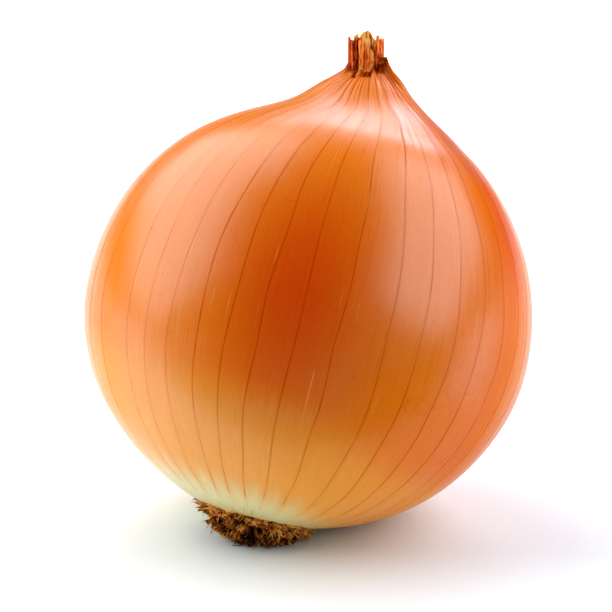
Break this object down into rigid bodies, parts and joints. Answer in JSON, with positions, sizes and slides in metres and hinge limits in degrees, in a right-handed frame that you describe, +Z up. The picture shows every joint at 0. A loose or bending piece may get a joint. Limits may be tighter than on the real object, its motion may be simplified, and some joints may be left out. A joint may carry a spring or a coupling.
{
  "type": "onion",
  "caption": "Round yellow onion in its dry skin, lying tipped on the side of its base, with a torn dried neck on top and a tuft of dried roots below.",
  "frame": {"origin": "middle of the small flat spot that the bulb rests on", "axes": "+Z up from the surface it rests on; the neck leans towards +X and +Y, and the roots point down towards -X and -Y"},
  "size_m": [0.085, 0.0847, 0.0914],
  "materials": {
    "skin": "satin papery skin with fine veins",
    "dry_leaf": "matt, dry and fibrous",
    "pith": "matt, dry and fibrous",
    "cork": "matt, rough",
    "root": "matt, rough"
  },
  "bodies": {
    "root": {"bulb": "skin", "root_plate": "cork", "root_mat": "root", "neck_core": "pith", "neck_leaf_1": "dry_leaf", "neck_leaf_2": "dry_leaf", "neck_leaf_3": "dry_leaf", "neck_leaf_4": "dry_leaf", "neck_leaf_5": "dry_leaf", "neck_leaf_6": "dry_leaf", "neck_leaf_7": "dry_leaf", "neck_leaf_8": "dry_leaf"}
  },
  "joints": []
}
